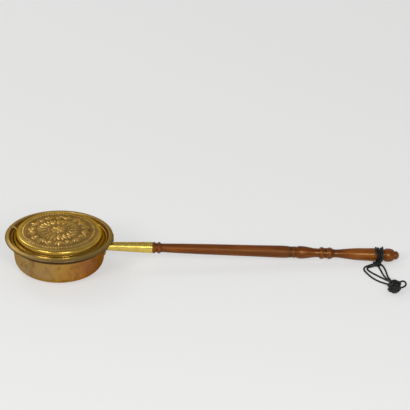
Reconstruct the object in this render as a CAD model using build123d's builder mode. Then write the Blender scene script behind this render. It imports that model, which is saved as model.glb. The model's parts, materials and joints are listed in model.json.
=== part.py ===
from build123d import *
from math import asin, atan2, cos, degrees, pi, radians, sin, sqrt, tan
import os

# Bed warmer (warming pan), millimetres. The pan stands on its flat bottom and the turned handle
# slopes down along +X until the lace round its end rests on the same surface. Origin: centre of
# the pan's bottom.

os.makedirs("parts", exist_ok=True)

# Pan: a spun sheet bowl with a wired rim
pan_sheet = 1.0
pan_height = 83.0
pan_foot_radius = 88.0
pan_corner_radius = 33.0
wall_flare = 6.0
rim_wire_diameter = 4.0
wire_clearance = 0.1
curl_sweep = 265.0

# Lid: one raised sheet with a crowned panel, a hollow channel and a wired brim
lid_sheet = 0.9
seat_gap = 0.3
crown_rise = 5.0
panel_rise = 22.1
shoulder_width = 9.5
shoulder_roll = 8.0
foot_width = 3.0
step_rise = 6.8
step_width = 4.0
foot_fillet = 1.2
step_fillet = 1.6
channel_width = 7.1
channel_drop = 9.6
channel_fillet = 4.0
ridge_width = 6.6
ridge_rise = 14.0
ridge_fillet = 2.6
brim_width = 9.7
brim_fall = 3.6
brim_wire_diameter = 2.5

# Hinge between the lid and the handle bracket
knuckle_length = 7.0
knuckle_count = 5
knuckle_gap = 0.15
pin_diameter = 3.0
pin_clearance = 0.05
knuckle_wall = 1.45
barrel_gap = 0.5
barrel_overhang = 0.4
leaf_thickness = 1.2
leaf_pad_width = 3.8
leaf_inset = 2.6
leaf_web = 2.0
pin_head_length = 1.2
pin_head_diameter = 4.4
leaf_rivet_diameter = 1.6
leaf_rivet_head = 3.6
leaf_rivet_spacing = 13.0

# Handle bracket: shaped plate, boss and spigot in one casting, riveted to the pan's wall
socket_drop = 25.0
plate_thickness = 2.4
plate_width = 50.0
plate_drop = 27.0
plate_rim_gap = 3.4
lobe_radius = 8.0
boss_diameter = 24.0
boss_length = 5.0
spigot_length = 38.0
arm_thickness = 2.2
plate_rivet_diameter = 4.0
rivet_head_diameter = 7.6
rivet_head_height = 2.4
rivet_seat = 0.05

# Ferrule: a tapered rolled brass tube, butted along one seam
ferrule_length = 119.5
ferrule_wall = 1.2
ferrule_root_diameter = 22.6
ferrule_mouth_diameter = 29.8
ferrule_fit = 0.1
seam_width = 0.6
seam_depth = 0.5
seam_angle = 61.0
ring_depth = 0.35
ring_width = 1.2
nail_diameter = 2.0
nail_head_diameter = 4.0
nail_angle = -50.0
nail_setback = 25.0
spigot_pin_setback = 18.0
spigot_pin_diameter = 3.0

# Turned wooden handle, from the ferrule's mouth to the tip
tenon_length = 42.0
collar_length = 9.4
collar_diameter = 31.0
groove_length = 3.9
groove_diameter = 25.2
bead_length = 10.0
bead_diameter = 31.0
cove_length = 9.1
cove_diameter = 23.4
shaft_length = 335.0
shaft_start_diameter = 24.0
shaft_swell_diameter = 32.9
shaft_swell_place = 0.9
ring_groove_length = 13.0
ring_groove_diameter = 29.8
disc_length = 6.0
disc_diameter = 31.6
disc_edge_drop = 0.7
vase_quirk_length = 5.0
vase_quirk_diameter = 29.6
vase_length = 60.0
vase_diameter = 34.4
vase_swell_place = 0.2
vase_taper_diameter = 26.6
vase_taper_place = 0.68
neck_diameter = 24.2
small_bead_length = 12.5
small_bead_diameter = 32.6
second_bead_diameter = 31.8
small_bead_edge_diameter = 28.0
small_groove_length = 8.5
small_groove_diameter = 27.4
waist_length = 22.0
waist_diameter = 23.6
grip_length = 98.6
grip_middle_diameter = 33.0
grip_middle_place = 0.5
grip_diameter = 35.2
grip_swell_place = 0.84
grip_end_diameter = 33.6
cord_groove_length = 21.6
cord_groove_diameter = 30.0
knob_length = 27.0
knob_face_diameter = 32.4
knob_diameter = 36.4
knob_swell_place = 0.33
knob_end_diameter = 25.0
button_length = 13.0
button_neck_length = 1.3
button_diameter = 23.2
button_neck_diameter = 21.4
button_swell_place = 0.35
tip_diameter = 8.0
tip_roll = 2.6
floor_gap = 0.1

# Lift tab on the lid's border
tab_width = 5.0
tab_thickness = 1.2
tab_azimuth = 160.0
tab_arch = 3.0
tab_reach = 14.5
tab_rivet_diameter = 1.8
tab_rivet_head = 3.0
tab_heel = 1.0
tab_arch_place = 0.35
tab_lip_place = 0.8
tab_lip_rise = 2.4

# Hanging lace: one round thong, wound round the handle, hitched and knotted
lace_diameter = 4.0
winding_turns = 3
winding_gap = 0.5
winding_clearance = 0.25
winding_check_reach = 30
hitch_width = 23.0
hitch_diameter = 16.0
hitch_reach = 32.3
hitch_lead = 21.0
hitch_back = 9.5
lead_out_straight = 6.0
knot_width = 38.0
knot_diameter = 37.0
knot_past_pan = 895.0
knot_forward = 177.5
lace_floor_gap = 0.2


# Wired edge: the radius outside the curl, from the wire inside it
def curl_radius(wire_diameter, sheet):
    return wire_diameter / 2 + wire_clearance + sheet


# Pan outline
pan_curl = curl_radius(rim_wire_diameter, pan_sheet)
wall_lean = radians(wall_flare)
inner_corner = pan_corner_radius - pan_sheet
wall_foot_r = pan_foot_radius + inner_corner * cos(wall_lean)
wall_foot_z = pan_sheet + inner_corner * (1 - sin(wall_lean))
wall_top_z = pan_height - pan_curl * (1 - sin(wall_lean))
wall_top_r = wall_foot_r + (wall_top_z - wall_foot_z) * tan(wall_lean)
rim_r = wall_top_r + pan_curl * cos(wall_lean)
rim_z = wall_top_z - pan_curl * sin(wall_lean)


# Radius of the pan's outer wall face at a height
def wall_radius(z):
    return wall_foot_r + (z - wall_foot_z) * tan(wall_lean) + pan_sheet / cos(wall_lean)


# Plane on the outer wall face, its normal pointing away from the wall
def wall_plane(azimuth, z):
    a = radians(azimuth)
    r = wall_radius(z)
    return Plane(
        origin=(r * cos(a), r * sin(a), z),
        x_dir=(-sin(a), cos(a), 0),
        z_dir=(cos(wall_lean) * cos(a), cos(wall_lean) * sin(a), -sin(wall_lean)),
    )


# Lid outline, outwards from the panel: shoulder, foot, step, channel, ridge and brim
channel_r = rim_r
step_r = channel_r - channel_width
panel_r = step_r - step_width - foot_width - shoulder_width
crown_ball = (panel_r ** 2 + crown_rise ** 2) / (2 * crown_rise)
shoulder_drop = shoulder_width * tan(asin(panel_r / crown_ball))
ridge_r = channel_r + ridge_width
brim_r = ridge_r + brim_width
lid_curl = curl_radius(brim_wire_diameter, lid_sheet)
brim_tilt = atan2(brim_fall, brim_width)


# The lid's section in a plane whose x is the radius and whose height 0 is set by lid_lift
def draw_lid_section(plane):
    with BuildSketch(plane) as section:
        with BuildLine() as line:
            crown_top = panel_rise + crown_rise
            CenterArc((0, crown_top - crown_ball), crown_ball, 90, -degrees(asin(panel_r / crown_ball)))
            FilletPolyline(
                (panel_r, panel_rise),
                (panel_r + shoulder_width, panel_rise - shoulder_drop),
                (step_r - step_width, step_rise),
                (step_r, step_rise),
                (channel_r, step_rise - channel_drop),
                (ridge_r, step_rise - channel_drop + ridge_rise),
                (brim_r, step_rise - channel_drop + ridge_rise - brim_fall),
                radius=[shoulder_roll, foot_fillet, step_fillet, channel_fillet, ridge_fillet],
            )
            JernArc(line.line @ 1, line.line % 1, lid_curl, -curl_sweep)
            offset(amount=lid_sheet, side=Side.RIGHT)
        make_face()
    return section


# The lid is lifted until the channel's underside sits on the pan's rim
lid_lift = pan_height + seat_gap - draw_lid_section(Plane.XY).sketch.bounding_box().min.Y
lid_plane = Plane(origin=(0, 0, lid_lift), x_dir=(1, 0, 0), z_dir=(0, -1, 0))
ridge_z = lid_lift + step_rise - channel_drop + ridge_rise
brim_curl_r = brim_r - lid_curl * sin(brim_tilt)
brim_curl_z = ridge_z - brim_fall - lid_curl * cos(brim_tilt)

# Hinge line, tucked under the brim
knuckle_radius = pin_diameter / 2 + pin_clearance + knuckle_wall
hinge_x = brim_curl_r + barrel_overhang
hinge_z = brim_curl_z - lid_curl - barrel_gap - knuckle_radius
knuckle_pitch = knuckle_length + knuckle_gap
barrel_length = knuckle_count * knuckle_pitch - knuckle_gap

# Plate's height on the wall, under the rim's curl, and the handle's height
plate_top_z = rim_z - pan_curl - plate_rim_gap
socket_height = pan_height - socket_drop

# Handle line: it leaves the pan's wall at the socket and falls until the last turn of the lace
# round the handle's groove meets the floor
boss_root_x = wall_radius(socket_height)
socket_run = plate_thickness + boss_length
neck_run = collar_length + groove_length + bead_length + cove_length
middle_run = ring_groove_length + disc_length + vase_quirk_length + vase_length
beads_run = 2 * small_bead_length + small_groove_length + waist_length
rest_run = grip_length + cord_groove_length - lace_diameter / 2 - winding_gap
rest_reach = socket_run + ferrule_length + neck_run + shaft_length + middle_run + beads_run + rest_run
rest_radius = cord_groove_diameter / 2 + winding_clearance + lace_diameter
handle_tilt = asin((socket_height - rest_radius - floor_gap) / rest_reach)
handle_dir = Vector(cos(handle_tilt), 0, -sin(handle_tilt))
handle_root = Vector(boss_root_x, 0, socket_height)
handle_axis = Axis(tuple(handle_root), tuple(handle_dir))

# Section plane that holds the handle's axis: its x runs along the axis, its y points up
handle_section = Plane(origin=handle_root, x_dir=handle_dir, z_dir=(0, -1, 0))


# Plane square to the handle, at a distance along it
def handle_cut(along):
    return Plane(origin=handle_root + handle_dir * along, x_dir=(0, 1, 0), z_dir=handle_dir)


# Plane on the handle's axis whose normal points out sideways, at an angle up from the front
def handle_side(along, angle):
    up = Vector(sin(handle_tilt), 0, cos(handle_tilt))
    out = Vector(0, -1, 0) * cos(radians(angle)) + up * sin(radians(angle))
    return Plane(origin=handle_root + handle_dir * along, x_dir=handle_dir, z_dir=out)


ferrule_start = socket_run
ferrule_end = ferrule_start + ferrule_length


# Outer radius of the ferrule at a distance along the handle
def ferrule_radius(along):
    share = (along - ferrule_start) / ferrule_length
    return (ferrule_root_diameter * (1 - share) + ferrule_mouth_diameter * share) / 2


# Radius of the ball that a domed cap is cut from
def dome_ball(radius, height):
    return (radius ** 2 + height ** 2) / (2 * height)


# Rivet in a plane: shank through the work, a domed head above it and a flat clenched end below
def rivet(plane, shank, head, head_height, work):
    tail_height = head_height / 2
    grip = work + rivet_seat
    head_ball = dome_ball(head / 2, head_height)
    section_plane = Plane(origin=plane.origin, x_dir=plane.x_dir, z_dir=-plane.y_dir)
    with BuildPart() as piece:
        with BuildSketch(section_plane):
            with BuildLine():
                Line((0, head_height), (0, -grip - tail_height))
                Line((0, -grip - tail_height), (head / 2 * 0.8, -grip - tail_height))
                Line((head / 2 * 0.8, -grip - tail_height), (head / 2 * 0.8, -grip))
                Line((head / 2 * 0.8, -grip), (shank / 2, -grip))
                Line((shank / 2, -grip), (shank / 2, 0))
                Line((shank / 2, 0), (head / 2, 0))
                RadiusArc((head / 2, 0), (0, head_height), -head_ball)
            make_face()
        revolve(axis=Axis(plane.origin, plane.z_dir))
    return piece.part


# Bracket rivets: two in the upper lobes, two in the lower ones and one at the foot
lobe_side = plate_width / 2 - lobe_radius
lobe_top = plate_top_z - lobe_radius
lobe_foot = socket_height - plate_drop + lobe_radius
lobe_low = (lobe_foot + socket_height) / 2
bracket_spots = [
    (lobe_side, lobe_top),
    (-lobe_side, lobe_top),
    (lobe_side, lobe_low),
    (-lobe_side, lobe_low),
    (0, lobe_foot),
]
rivet_planes = [wall_plane(degrees(y / wall_radius(z)), z) for y, z in bracket_spots]

with BuildPart() as pan_body:
    with BuildSketch(Plane.XZ):
        with BuildLine() as pan_line:
            Line((0, pan_sheet), (pan_foot_radius, pan_sheet))
            JernArc((pan_foot_radius, pan_sheet), (1, 0), inner_corner, 90 - wall_flare)
            Line(pan_line.line @ 1, (wall_top_r, wall_top_z))
            JernArc(pan_line.line @ 1, pan_line.line % 1, pan_curl, -curl_sweep)
            offset(amount=pan_sheet, side=Side.RIGHT)
        make_face()
    revolve(axis=Axis.Z)
    for spot in rivet_planes:
        with BuildSketch(spot):
            Circle(plate_rivet_diameter / 2)
        extrude(amount=2 * pan_sheet, both=True, mode=Mode.SUBTRACT)
pan_body.part.label = "pan_body"
export_step(pan_body.part, "parts/pan_body.step")

with BuildPart() as pan_rim_wire:
    with BuildSketch(Plane.XZ):
        with Locations((rim_r, rim_z)):
            Circle(rim_wire_diameter / 2)
    revolve(axis=Axis.Z)
pan_rim_wire.part.label = "pan_rim_wire"
export_step(pan_rim_wire.part, "parts/pan_rim_wire.step")

# Lid sheet, with holes for the hinge leaf's rivets and the lift tab's rivet
leaf_line = Vector(cos(brim_tilt), 0, -sin(brim_tilt))
leaf_down = Vector(-sin(brim_tilt), 0, -cos(brim_tilt))
ridge_point = Vector(ridge_r, 0, ridge_z)
leaf_mid = ridge_point + leaf_line * (leaf_inset + leaf_pad_width / 2)
leaf_mid_r = leaf_mid.X


# Plane on the brim's upper face over the hinge leaf, a distance along the rim from its middle
def brim_plane(along_rim):
    a = along_rim / leaf_mid_r
    turn = Rotation(0, 0, degrees(a))
    frame = Plane(origin=leaf_mid, x_dir=(0, 1, 0), z_dir=leaf_down * -1)
    return Plane((turn * Location(frame)))


leaf_rivet_planes = [brim_plane(k * leaf_rivet_spacing) for k in (-1, 0, 1)]
tab_foot_r = step_r - step_width / 2
tab_way = (cos(radians(tab_azimuth)), sin(radians(tab_azimuth)), 0)
tab_turn = Location(Plane(origin=(0, 0, 0), x_dir=tab_way))
tab_rivet_plane = Plane(tab_turn * Location((tab_foot_r, 0, lid_lift + step_rise)))

with BuildPart() as lid:
    revolve(draw_lid_section(lid_plane).sketch, axis=Axis.Z)
    for spot in leaf_rivet_planes:
        with BuildSketch(spot):
            Circle(leaf_rivet_diameter / 2)
        extrude(amount=2 * lid_sheet, both=True, mode=Mode.SUBTRACT)
    with BuildSketch(tab_rivet_plane):
        Circle(tab_rivet_diameter / 2)
    extrude(amount=2 * lid_sheet, both=True, mode=Mode.SUBTRACT)
lid.part.label = "lid"
export_step(lid.part, "parts/lid.step")

with BuildPart() as lid_rim_wire:
    with BuildSketch(Plane.XZ):
        with Locations((brim_curl_r, brim_curl_z)):
            Circle(brim_wire_diameter / 2)
    revolve(axis=Axis.Z)
lid_rim_wire.part.label = "lid_rim_wire"
export_step(lid_rim_wire.part, "parts/lid_rim_wire.step")

# Handle bracket: the plate's lobed outline is cut from a band that follows the wall
plate_skin = plate_thickness / cos(wall_lean)
plate_foot_z = socket_height - plate_drop
arm_root_z = socket_height + boss_diameter / 2
arm_root_x = wall_radius(arm_root_z) + plate_skin
arm_post_x = hinge_x - knuckle_radius + arm_thickness
knuckle_starts = [k * knuckle_pitch - barrel_length / 2 for k in range(knuckle_count)]
lid_knuckles = knuckle_starts[1::2]
spigot_end = ferrule_start + spigot_length
bore_diameter = pin_diameter + 2 * pin_clearance
window_drop = knuckle_radius + barrel_gap


# Spigot radius, a fit inside the ferrule's bore
def spigot_radius(along):
    return ferrule_radius(along) - ferrule_wall - ferrule_fit


with BuildPart() as handle_bracket:
    with BuildSketch(Plane.YZ.offset(pan_foot_radius)):
        with Locations((0, (plate_top_z + plate_foot_z) / 2)):
            Ellipse(lobe_side, (plate_top_z - plate_foot_z) / 2 - lobe_radius / 4)
        with Locations((0, socket_height)):
            Circle(boss_diameter / 2 + plate_thickness)
        with Locations((0, plate_top_z - lobe_radius)):
            Rectangle(2 * lobe_side, 2 * lobe_radius)
        with Locations(*bracket_spots):
            Circle(lobe_radius)
    extrude(amount=pan_height)
    with BuildSketch(Plane.XZ):
        with BuildLine():
            Polyline(
                (wall_radius(wall_foot_z), wall_foot_z),
                (wall_radius(wall_foot_z) + plate_skin, wall_foot_z),
                (wall_radius(plate_top_z) + plate_skin, plate_top_z),
                (wall_radius(plate_top_z), plate_top_z),
                close=True,
            )
        make_face()
    revolve(axis=Axis.Z, mode=Mode.INTERSECT)
    with BuildSketch(handle_cut(plate_thickness / 2)):
        Circle(boss_diameter / 2)
    extrude(amount=socket_run - plate_thickness / 2)
    with BuildSketch(handle_section):
        with BuildLine():
            Polyline(
                (socket_run, 0),
                (socket_run, spigot_radius(ferrule_start)),
                (spigot_end, spigot_radius(spigot_end)),
                (spigot_end, 0),
                close=True,
            )
        make_face()
    revolve(axis=handle_axis)
    with BuildSketch(Plane.XZ):
        with BuildLine():
            FilletPolyline(
                (arm_root_x - plate_thickness / 2, arm_root_z),
                (arm_root_x + 2 * arm_thickness, arm_root_z + arm_thickness / 4),
                (arm_post_x, hinge_z - 3 * knuckle_radius),
                (arm_post_x, hinge_z),
                radius=arm_thickness * 2,
            )
            offset(amount=arm_thickness, side=Side.LEFT)
        make_face()
    extrude(amount=barrel_length / 2, both=True)
    with BuildSketch(Plane.XZ):
        with Locations((hinge_x, hinge_z)):
            Circle(knuckle_radius)
    extrude(amount=barrel_length / 2, both=True)
    for start in lid_knuckles:
        with BuildSketch(Plane.XZ.offset(-start - knuckle_length - knuckle_gap)):
            with Locations((hinge_x, hinge_z)):
                Rectangle(4 * window_drop, 2 * window_drop)
        extrude(amount=knuckle_length + 2 * knuckle_gap, mode=Mode.SUBTRACT)
    with BuildSketch(Plane.XZ):
        with Locations((hinge_x, hinge_z)):
            Circle(bore_diameter / 2)
    extrude(amount=barrel_length, both=True, mode=Mode.SUBTRACT)
    for spot in rivet_planes:
        with BuildSketch(spot):
            Circle(plate_rivet_diameter / 2)
        extrude(amount=2 * plate_thickness, both=True, mode=Mode.SUBTRACT)
    with BuildSketch(handle_side(ferrule_start + spigot_pin_setback, nail_angle)):
        Circle(spigot_pin_diameter / 2)
    extrude(amount=boss_diameter, both=True, mode=Mode.SUBTRACT)
handle_bracket.part.label = "handle_bracket"
export_step(handle_bracket.part, "parts/handle_bracket.step")

plate_rivets = Compound(
    children=[
        rivet(
            spot.offset(plate_thickness),
            plate_rivet_diameter,
            rivet_head_diameter,
            rivet_head_height,
            plate_thickness + pan_sheet,
        )
        for spot in rivet_planes
    ]
)
plate_rivets.label = "bracket_rivets"
export_step(plate_rivets, "parts/bracket_rivets.step")


# Plane through the pan's axis at an azimuth: its x points outwards, its y up
def radial_plane(azimuth):
    a = radians(azimuth)
    return Plane(origin=(0, 0, 0), x_dir=(cos(a), sin(a), 0), z_dir=(sin(a), -cos(a), 0))


# Hinge leaf under the brim, with its own knuckles between the bracket's
leaf_turn = degrees(barrel_length / 2 / leaf_mid_r)
leaf_top = ridge_point + leaf_line * leaf_inset + leaf_down * lid_sheet
leaf_edge = leaf_top + leaf_line * leaf_pad_width
leaf_skin = leaf_down * leaf_thickness
web_right = brim_curl_r - lid_curl - barrel_gap
web_top = leaf_edge.Z - leaf_thickness / 2
knuckle_half = pin_diameter / 2

with BuildPart() as lid_hinge_leaf:
    with BuildSketch(radial_plane(-leaf_turn)):
        with BuildLine():
            Polyline(
                (leaf_top.X, leaf_top.Z),
                (leaf_edge.X, leaf_edge.Z),
                ((leaf_edge + leaf_skin).X, (leaf_edge + leaf_skin).Z),
                ((leaf_top + leaf_skin).X, (leaf_top + leaf_skin).Z),
                close=True,
            )
        make_face()
    revolve(axis=Axis.Z, revolution_arc=2 * leaf_turn)
    for start in lid_knuckles:
        with BuildSketch(Plane.XZ.offset(-start - knuckle_length)):
            with BuildLine():
                Polyline(
                    (web_right, web_top),
                    (web_right, hinge_z + knuckle_half),
                    (hinge_x, hinge_z + knuckle_half),
                    (hinge_x, hinge_z - knuckle_half),
                    (web_right - leaf_web, hinge_z - knuckle_half),
                    (web_right - leaf_web, web_top),
                    close=True,
                )
            make_face()
            with Locations((hinge_x, hinge_z)):
                Circle(knuckle_radius)
        extrude(amount=knuckle_length)
    with BuildSketch(Plane.XZ):
        with Locations((hinge_x, hinge_z)):
            Circle(bore_diameter / 2)
    extrude(amount=barrel_length, both=True, mode=Mode.SUBTRACT)
    for spot in leaf_rivet_planes:
        with BuildSketch(spot):
            Circle(leaf_rivet_diameter / 2)
        extrude(amount=2 * (lid_sheet + leaf_thickness), both=True, mode=Mode.SUBTRACT)
lid_hinge_leaf.part.label = "lid_hinge_leaf"
export_step(lid_hinge_leaf.part, "parts/lid_hinge_leaf.step")

leaf_rivets = Compound(
    children=[
        rivet(
            spot,
            leaf_rivet_diameter,
            leaf_rivet_head,
            leaf_rivet_head / 4,
            lid_sheet + leaf_thickness,
        )
        for spot in leaf_rivet_planes
    ]
)
leaf_rivets.label = "hinge_rivets"
export_step(leaf_rivets, "parts/hinge_rivets.step")

# Hinge pin with a set head at each end
with BuildPart() as hinge_pin:
    with BuildSketch(Plane.XZ):
        with Locations((hinge_x, hinge_z)):
            Circle(pin_diameter / 2)
    extrude(amount=barrel_length / 2 + pin_clearance, both=True)
    for face in (1, -1):
        with BuildSketch(Plane.XZ.offset(face * (barrel_length / 2 + pin_clearance))):
            with Locations((hinge_x, hinge_z)):
                Circle(pin_head_diameter / 2)
        extrude(amount=face * pin_head_length, taper=20)
hinge_pin.part.label = "hinge_pin"
export_step(hinge_pin.part, "parts/hinge_pin.step")


# Plane that holds the handle's axis and points out at an angle up from the front
def handle_fin(angle):
    out = handle_side(0, angle).z_dir
    return Plane(origin=handle_root, x_dir=handle_dir, z_dir=handle_dir.cross(out))


# Ferrule
nail_along = ferrule_end - nail_setback
pin_along = ferrule_start + spigot_pin_setback
ring_along = ferrule_end - tenon_length
root_r = ferrule_radius(ferrule_start)
mouth_r = ferrule_radius(ferrule_end)
with BuildPart() as ferrule:
    with BuildSketch(handle_section):
        with BuildLine():
            Polyline(
                (ferrule_start, root_r - ferrule_wall),
                (ferrule_start, root_r),
                (ring_along - ring_width / 2, ferrule_radius(ring_along)),
                (ring_along, ferrule_radius(ring_along) - ring_depth),
                (ring_along + ring_width / 2, ferrule_radius(ring_along)),
                (ferrule_end, mouth_r),
                (ferrule_end, mouth_r - ferrule_wall),
                close=True,
            )
        make_face()
    revolve(axis=handle_axis)
    with BuildSketch(handle_fin(seam_angle)):
        with BuildLine():
            Polyline(
                (ferrule_start - 1, root_r - seam_depth),
                (ferrule_end + 1, mouth_r - seam_depth),
                (ferrule_end + 1, mouth_r + seam_depth),
                (ferrule_start - 1, root_r + seam_depth),
                close=True,
            )
        make_face()
    extrude(amount=seam_width / 2, both=True, mode=Mode.SUBTRACT)
    with BuildSketch(handle_side(pin_along, nail_angle)):
        Circle(spigot_pin_diameter / 2)
    extrude(amount=ferrule_mouth_diameter, both=True, mode=Mode.SUBTRACT)
    with BuildSketch(handle_side(nail_along, nail_angle)):
        Circle(nail_diameter / 2)
    extrude(amount=ferrule_mouth_diameter, both=True, mode=Mode.SUBTRACT)
ferrule.part.label = "ferrule"
export_step(ferrule.part, "parts/ferrule.step")

with BuildPart() as ferrule_pin:
    with BuildSketch(handle_side(pin_along, nail_angle)):
        Circle(spigot_pin_diameter / 2)
    extrude(amount=ferrule_radius(pin_along), both=True)
ferrule_pin.part.label = "ferrule_pin"
export_step(ferrule_pin.part, "parts/ferrule_pin.step")

# Two nails hold the tenon in the ferrule, driven in from opposite sides
nail_length = tenon_length / 4
nail_radius = nail_diameter / 2
nail_head_r = nail_head_diameter / 2
nails = []
for side in (0, 180):
    seat = handle_side(nail_along, nail_angle + side).offset(ferrule_radius(nail_along) + rivet_seat)
    with BuildPart() as nail:
        with BuildSketch(Plane(origin=seat.origin, x_dir=seat.x_dir, z_dir=-seat.y_dir)):
            with BuildLine():
                Polyline(
                    (0, nail_radius),
                    (0, -nail_length),
                    (nail_radius, nail_diameter - nail_length),
                    (nail_radius, 0),
                    (nail_head_r, 0),
                )
                RadiusArc((nail_head_r, 0), (0, nail_radius), -dome_ball(nail_head_r, nail_radius))
            make_face()
        revolve(axis=Axis(tuple(seat.origin), tuple(seat.z_dir)))
    nails.append(nail.part)
ferrule_nails = Compound(children=nails)
ferrule_nails.label = "ferrule_nails"
export_step(ferrule_nails, "parts/ferrule_nails.step")

# Turned handle: stations along the axis, from the ferrule's mouth to the tip
collar_end = ferrule_end + collar_length
bead_start = collar_end + groove_length
bead_end = bead_start + bead_length
shaft_start = bead_end + cove_length
shaft_end = shaft_start + shaft_length
disc_start = shaft_end + ring_groove_length
disc_end = disc_start + disc_length
vase_start = disc_end + vase_quirk_length
vase_end = vase_start + vase_length
bead_one_end = vase_end + small_bead_length
bead_two_start = bead_one_end + small_groove_length
bead_two_end = bead_two_start + small_bead_length
grip_start = bead_two_end + waist_length
grip_end = grip_start + grip_length
knob_start = grip_end + cord_groove_length
knob_end = knob_start + knob_length
tip_end = knob_end + button_length
button_start = knob_end + button_neck_length
button_swell = button_start + (button_length - button_neck_length) * button_swell_place
shaft_end_r = (ring_groove_diameter + shaft_swell_diameter) / 4
disc_edge_r = disc_diameter / 2 - disc_edge_drop
vase_start_r = (vase_quirk_diameter + vase_diameter) / 4
small_edge_r = small_bead_edge_diameter / 2
groove_r = groove_diameter / 2
cord_groove_r = cord_groove_diameter / 2


# Round moulding on the outline between two stations, through its crest or hollow halfway
def moulding(start, start_r, end, end_r, crest_r):
    return ThreePointArc((start, start_r), ((start + end) / 2, crest_r), (end, end_r))


with BuildPart() as handle:
    with BuildSketch(handle_section):
        with BuildLine():
            Polyline(
                (ring_along, 0),
                (ring_along, spigot_radius(ring_along)),
                (ferrule_end, spigot_radius(ferrule_end)),
                (ferrule_end, groove_r),
            )
            moulding(ferrule_end, groove_r, collar_end, groove_r, collar_diameter / 2)
            Line((collar_end, groove_r), (bead_start, groove_r))
            moulding(bead_start, groove_r, bead_end, groove_r, bead_diameter / 2)
            moulding(bead_end, groove_r, shaft_start, shaft_start_diameter / 2, cove_diameter / 2)
            Spline(
                (shaft_start, shaft_start_diameter / 2),
                (shaft_start + shaft_length * shaft_swell_place, shaft_swell_diameter / 2),
                (shaft_end, shaft_end_r),
                tangents=[(1, 0.03), (1, -0.12)],
            )
            moulding(shaft_end, shaft_end_r, disc_start, disc_edge_r, ring_groove_diameter / 2)
            moulding(disc_start, disc_edge_r, disc_end, disc_edge_r, disc_diameter / 2)
            moulding(disc_end, disc_edge_r, vase_start, vase_start_r, vase_quirk_diameter / 2)
            Spline(
                (vase_start, vase_start_r),
                (vase_start + vase_length * vase_swell_place, vase_diameter / 2),
                (vase_start + vase_length * vase_taper_place, vase_taper_diameter / 2),
                (vase_end, neck_diameter / 2),
                tangents=[(1, 0.3), (1, 0)],
            )
            Line((vase_end, neck_diameter / 2), (vase_end, small_edge_r))
            moulding(vase_end, small_edge_r, bead_one_end, small_edge_r, small_bead_diameter / 2)
            moulding(bead_one_end, small_edge_r, bead_two_start, small_edge_r, small_groove_diameter / 2)
            moulding(bead_two_start, small_edge_r, bead_two_end, small_edge_r, second_bead_diameter / 2)
            Spline(
                (bead_two_end, small_edge_r),
                (grip_start, waist_diameter / 2),
                (grip_start + grip_length * grip_middle_place, grip_middle_diameter / 2),
                (grip_start + grip_length * grip_swell_place, grip_diameter / 2),
                (grip_end, grip_end_diameter / 2),
                tangents=[(1, -0.9), (1, -0.25)],
            )
            Polyline(
                (grip_end, grip_end_diameter / 2),
                (grip_end, cord_groove_r),
                (knob_start, cord_groove_r),
                (knob_start, knob_face_diameter / 2),
            )
            Spline(
                (knob_start, knob_face_diameter / 2),
                (knob_start + knob_length * knob_swell_place, knob_diameter / 2),
                (knob_end, knob_end_diameter / 2),
                tangents=[(1, 0.5), (1, -0.9)],
            )
            Polyline(
                (knob_end, knob_end_diameter / 2),
                (knob_end, button_neck_diameter / 2),
                (button_start, button_neck_diameter / 2),
            )
            Spline(
                (button_start, button_neck_diameter / 2),
                (button_swell, button_diameter / 2),
                (tip_end - tip_roll, button_neck_diameter / 2 - tip_roll),
                (tip_end, tip_diameter / 2),
                tangents=[(1, 0.5), (0.3, -1)],
            )
            Polyline(
                (tip_end, tip_diameter / 2),
                (tip_end, 0),
                (ring_along, 0),
            )
        make_face()
    revolve(axis=handle_axis)
    with BuildSketch(handle_side(nail_along, nail_angle)):
        Circle(nail_radius)
    extrude(amount=ferrule_mouth_diameter, both=True, mode=Mode.SUBTRACT)
handle.part.label = "handle"
export_step(handle.part, "parts/handle.step")

# Lift tab: a strip riveted to the lid's step, arched over the channel, with a turned-up lip
tab_base_z = lid_lift + step_rise
tab_plane = radial_plane(tab_azimuth)
with BuildPart() as lid_lift_tab:
    with BuildSketch(tab_plane):
        with BuildLine():
            FilletPolyline(
                (tab_foot_r - tab_heel, tab_base_z),
                (tab_foot_r + tab_width / 2, tab_base_z),
                (tab_foot_r + tab_reach * tab_arch_place, tab_base_z + tab_arch),
                (tab_foot_r + tab_reach * tab_lip_place, ridge_z + tab_thickness),
                (tab_foot_r + tab_reach, ridge_z + tab_lip_rise),
                radius=[tab_thickness, 2 * tab_thickness, 2 * tab_thickness],
            )
            offset(amount=tab_thickness, side=Side.LEFT)
        make_face()
    extrude(amount=tab_width / 2, both=True)
    with BuildSketch(tab_rivet_plane):
        Circle(tab_rivet_diameter / 2)
    extrude(amount=2 * tab_thickness, both=True, mode=Mode.SUBTRACT)
lid_lift_tab.part.label = "lid_lift_tab"
export_step(lid_lift_tab.part, "parts/lid_lift_tab.step")

tab_rivet = rivet(
    tab_rivet_plane.offset(tab_thickness),
    tab_rivet_diameter,
    tab_rivet_head,
    tab_rivet_head / 4,
    tab_thickness + lid_sheet,
)
tab_rivet.label = "lift_tab_rivet"
export_step(tab_rivet, "parts/lift_tab_rivet.step")


# Radius of each bend of a lace: as large as its two runs allow
def bend_radii(points):
    radii = []
    for before, here, after in zip(points, points[1:], points[2:]):
        come = Vector(*here) - Vector(*before)
        leave = Vector(*after) - Vector(*here)
        half_turn = radians(come.get_angle(leave)) / 2
        radii.append(0.45 * min(come.length, leave.length) / tan(half_turn))
    return radii


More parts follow.
